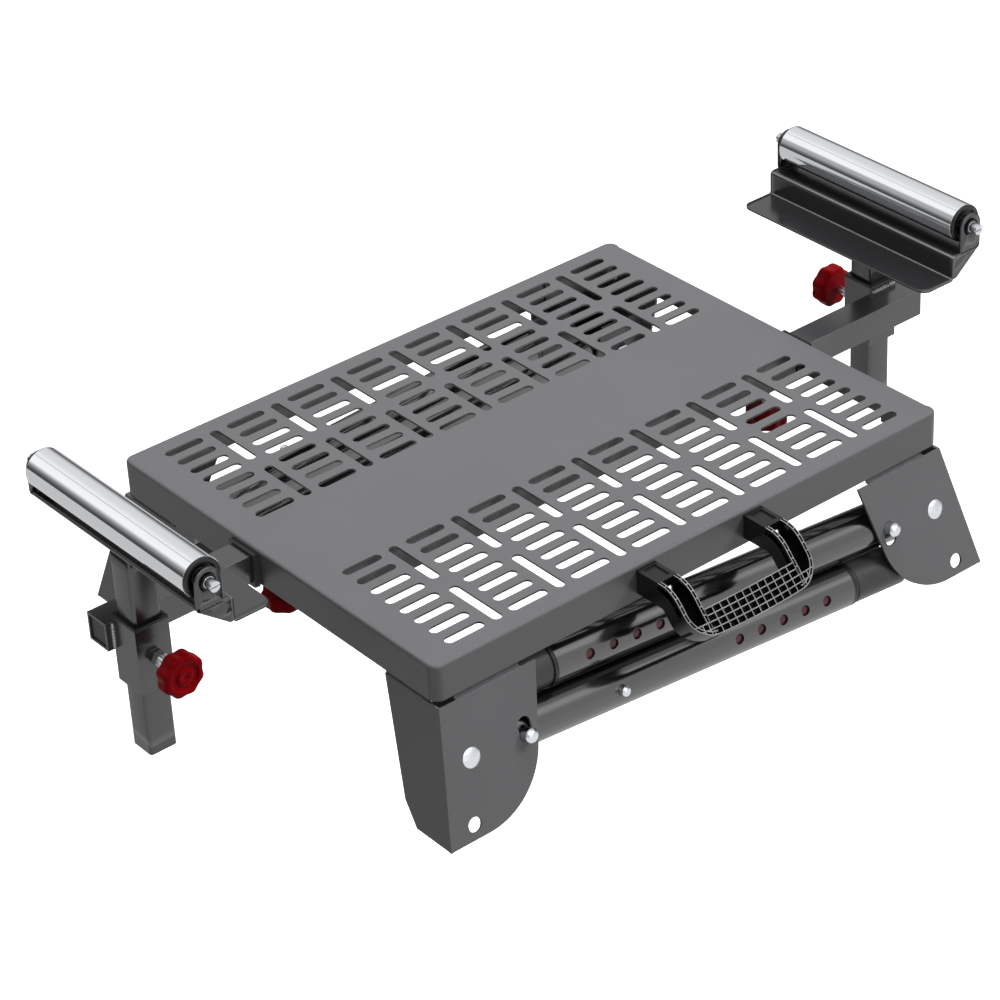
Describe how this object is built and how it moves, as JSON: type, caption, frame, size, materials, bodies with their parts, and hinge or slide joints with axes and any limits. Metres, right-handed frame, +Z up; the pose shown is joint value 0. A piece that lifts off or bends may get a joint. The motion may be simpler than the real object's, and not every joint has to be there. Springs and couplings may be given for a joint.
{
  "type": "power tool stand",
  "caption": "Folding stand for a power tool: slotted sheet-metal platform on flared corner brackets, telescopic legs, pull-out arms with height-adjustable rollers, carry handle.",
  "frame": {"origin": "centre of the platform's top face", "axes": "+X to the right along the platform's length, +Y to the back (the carry handle is at the front, on -Y), +Z up, square to the platform's top"},
  "size_m": [0.913, 0.5712, 0.2791],
  "materials": {
    "platform_paint": "smooth semi-gloss grey-black powder coat",
    "bracket_paint": "satin grey-black powder coat",
    "leg_paint": "gloss black paint",
    "inner_leg_paint": "gloss dark red paint",
    "support_paint": "smooth satin grey-black powder coat",
    "black_plastic": "fine-grained moulded black",
    "foot_rubber": "matt moulded black",
    "red_plastic": "moulded deep red, semi-matt",
    "zinc_plate": "bright zinc plate",
    "roller_chrome": "bright chrome plate"
  },
  "bodies": {
    "platform": {"platform_tray": "platform_paint", "arm_guides": "bracket_paint", "bracket_front_left": "bracket_paint", "bracket_front_right": "bracket_paint", "bracket_back_left": "bracket_paint", "bracket_back_right": "bracket_paint", "arm_collars": "black_plastic", "carry_handle": "black_plastic", "handle_screws": "zinc_plate", "pivot_bolts": "zinc_plate", "leg_tube_front_right": "leg_paint", "leg_tube_back_left": "leg_paint", "leg_collars_upper": "black_plastic", "lock_clips_upper": "zinc_plate"},
    "leg_front_left": {"leg_tube_front_left": "leg_paint", "leg_collar_front_left": "black_plastic", "lock_clip_front_left": "zinc_plate"},
    "leg_back_right": {"leg_tube_back_right": "leg_paint", "leg_collar_back_right": "black_plastic", "lock_clip_back_right": "zinc_plate"},
    "leg_slide_front_left": {"inner_leg_front_left": "inner_leg_paint", "foot_front_left": "foot_rubber", "snap_clip_front_left": "zinc_plate"},
    "leg_slide_front_right": {"inner_leg_front_right": "inner_leg_paint", "foot_front_right": "foot_rubber", "snap_clip_front_right": "zinc_plate"},
    "leg_slide_back_left": {"inner_leg_back_left": "inner_leg_paint", "foot_back_left": "foot_rubber", "snap_clip_back_left": "zinc_plate"},
    "leg_slide_back_right": {"inner_leg_back_right": "inner_leg_paint", "foot_back_right": "foot_rubber", "snap_clip_back_right": "zinc_plate"},
    "lock_front_left": {"lock_button_front_left": "zinc_plate"},
    "snap_front_left": {"snap_button_front_left": "zinc_plate"},
    "lock_front_right": {"lock_button_front_right": "zinc_plate"},
    "snap_front_right": {"snap_button_front_right": "zinc_plate"},
    "lock_back_left": {"lock_button_back_left": "zinc_plate"},
    "snap_back_left": {"snap_button_back_left": "zinc_plate"},
    "lock_back_right": {"lock_button_back_right": "zinc_plate"},
    "snap_back_right": {"snap_button_back_right": "zinc_plate"},
    "arm_right": {"support_arm_right": "support_paint", "arm_caps_right": "black_plastic", "socket_bush_right": "black_plastic"},
    "post_right": {"roller_post_right": "support_paint", "roller_axle_right": "zinc_plate"},
    "roller_right": {"roller_tube_right": "roller_chrome", "roller_caps_right": "black_plastic"},
    "arm_clamp_right": {"arm_knob_right": "red_plastic"},
    "post_clamp_right": {"post_knob_right": "red_plastic", "post_stud_right": "zinc_plate"},
    "arm_left": {"support_arm_left": "support_paint", "arm_caps_left": "black_plastic", "socket_bush_left": "black_plastic"},
    "post_left": {"roller_post_left": "support_paint", "roller_axle_left": "zinc_plate"},
    "roller_left": {"roller_tube_left": "roller_chrome", "roller_caps_left": "black_plastic"},
    "arm_clamp_left": {"arm_knob_left": "red_plastic"},
    "post_clamp_left": {"post_knob_left": "red_plastic", "post_stud_left": "zinc_plate"}
  },
  "joints": [
    {"name": "leg_fold_front_left", "type": "hinge", "parent": "platform", "child": "leg_front_left", "pos_m": [-0.2773, -0.24577, -0.09154], "axis": [0, 0.9598, -0.2807], "range_deg": [0, 98]},
    {"name": "leg_fold_back_right", "type": "hinge", "parent": "platform", "child": "leg_back_right", "pos_m": [0.2773, 0.24577, -0.09154], "axis": [0, -0.9598, -0.2807], "range_deg": [0, 98]},
    {"name": "leg_length_front_left", "type": "slide", "parent": "leg_front_left", "child": "leg_slide_front_left", "axis": [0.9969, -0.0221, -0.0755], "range_m": [0, 0.2426]},
    {"name": "leg_length_front_right", "type": "slide", "parent": "platform", "child": "leg_slide_front_right", "axis": [-0.9969, 0.0221, 0.0755], "range_m": [0, 0.04]},
    {"name": "leg_length_back_left", "type": "slide", "parent": "platform", "child": "leg_slide_back_left", "axis": [0.9969, -0.0221, 0.0755], "range_m": [0, 0.04]},
    {"name": "leg_length_back_right", "type": "slide", "parent": "leg_back_right", "child": "leg_slide_back_right", "axis": [-0.9969, 0.0221, -0.0755], "range_m": [0, 0.2426]},
    {"name": "lock_press_front_left", "type": "slide", "parent": "platform", "child": "lock_front_left", "axis": [0, 0.9598, -0.2807], "range_m": [0, 0.012], "stiffness_N_per_m": 800, "springref_m": -0.004, "deforming": ["lock_clip_front_left"]},
    {"name": "snap_press_front_left", "type": "slide", "parent": "leg_front_left", "child": "snap_front_left", "axis": [0, 0.9598, -0.2807], "range_m": [0, 0.008], "stiffness_N_per_m": 800, "springref_m": -0.004, "deforming": ["snap_clip_front_left"]},
    {"name": "lock_press_front_right", "type": "slide", "parent": "platform", "child": "lock_front_right", "axis": [0, 0.9598, -0.2807], "range_m": [0, 0.012], "stiffness_N_per_m": 800, "springref_m": -0.004, "deforming": ["lock_clips_upper"]},
    {"name": "snap_press_front_right", "type": "slide", "parent": "platform", "child": "snap_front_right", "axis": [0, 0.9598, -0.2807], "range_m": [0, 0.008], "stiffness_N_per_m": 800, "springref_m": -0.004, "deforming": ["snap_clip_front_right"]},
    {"name": "lock_press_back_left", "type": "slide", "parent": "platform", "child": "lock_back_left", "axis": [0, -0.9598, -0.2807], "range_m": [0, 0.012], "stiffness_N_per_m": 800, "springref_m": -0.004, "deforming": ["lock_clips_upper"]},
    {"name": "snap_press_back_left", "type": "slide", "parent": "platform", "child": "snap_back_left", "axis": [0, -0.9598, -0.2807], "range_m": [0, 0.008], "stiffness_N_per_m": 800, "springref_m": -0.004, "deforming": ["snap_clip_back_left"]},
    {"name": "lock_press_back_right", "type": "slide", "parent": "platform", "child": "lock_back_right", "axis": [0, -0.9598, -0.2807], "range_m": [0, 0.012], "stiffness_N_per_m": 800, "springref_m": -0.004, "deforming": ["lock_clip_back_right"]},
    {"name": "snap_press_back_right", "type": "slide", "parent": "leg_back_right", "child": "snap_back_right", "axis": [0, -0.9598, -0.2807], "range_m": [0, 0.008], "stiffness_N_per_m": 800, "springref_m": -0.004, "deforming": ["snap_clip_back_right"]},
    {"name": "arm_slide_right", "type": "slide", "parent": "platform", "child": "arm_right", "axis": [1, 0, 0], "range_m": [-0.105, 0.15]},
    {"name": "post_slide_right", "type": "slide", "parent": "arm_right", "child": "post_right", "axis": [0, 0, 1], "range_m": [-0.045, 0.088]},
    {"name": "roller_spin_right", "type": "hinge", "parent": "post_right", "child": "roller_right", "pos_m": [0.4377, -0.0055, 0.0999], "axis": [0, 1, 0], "continuous": true},
    {"name": "arm_clamp_turn_right", "type": "hinge", "parent": "platform", "child": "arm_clamp_right", "pos_m": [0.26091, -0.037, -0.066], "axis": [0, 0, 1], "range_deg": [0, 360]},
    {"name": "post_clamp_turn_right", "type": "hinge", "parent": "arm_right", "child": "post_clamp_right", "pos_m": [0.431, 0.041, -0.032], "axis": [0, 1, 0], "range_deg": [0, 360]},
    {"name": "arm_slide_left", "type": "slide", "parent": "platform", "child": "arm_left", "axis": [-1, 0, 0], "range_m": [-0.105, 0.15]},
    {"name": "post_slide_left", "type": "slide", "parent": "arm_left", "child": "post_left", "axis": [0, 0, 1], "range_m": [-0.045, 0.088]},
    {"name": "roller_spin_left", "type": "hinge", "parent": "post_left", "child": "roller_left", "pos_m": [-0.4377, 0.0055, 0.0999], "axis": [0, 1, 0], "continuous": true},
    {"name": "arm_clamp_turn_left", "type": "hinge", "parent": "platform", "child": "arm_clamp_left", "pos_m": [-0.26091, 0.037, -0.066], "axis": [0, 0, 1], "range_deg": [0, 360]},
    {"name": "post_clamp_turn_left", "type": "hinge", "parent": "arm_left", "child": "post_clamp_left", "pos_m": [-0.431, -0.041, -0.032], "axis": [0, 1, 0], "range_deg": [0, 360]}
  ],
  "couplings": [
    {"joint": "leg_length_front_left", "follows": "leg_fold_front_left", "m_per_rad": 0.1418},
    {"joint": "leg_length_back_right", "follows": "leg_fold_back_right", "m_per_rad": 0.1418}
  ]
}
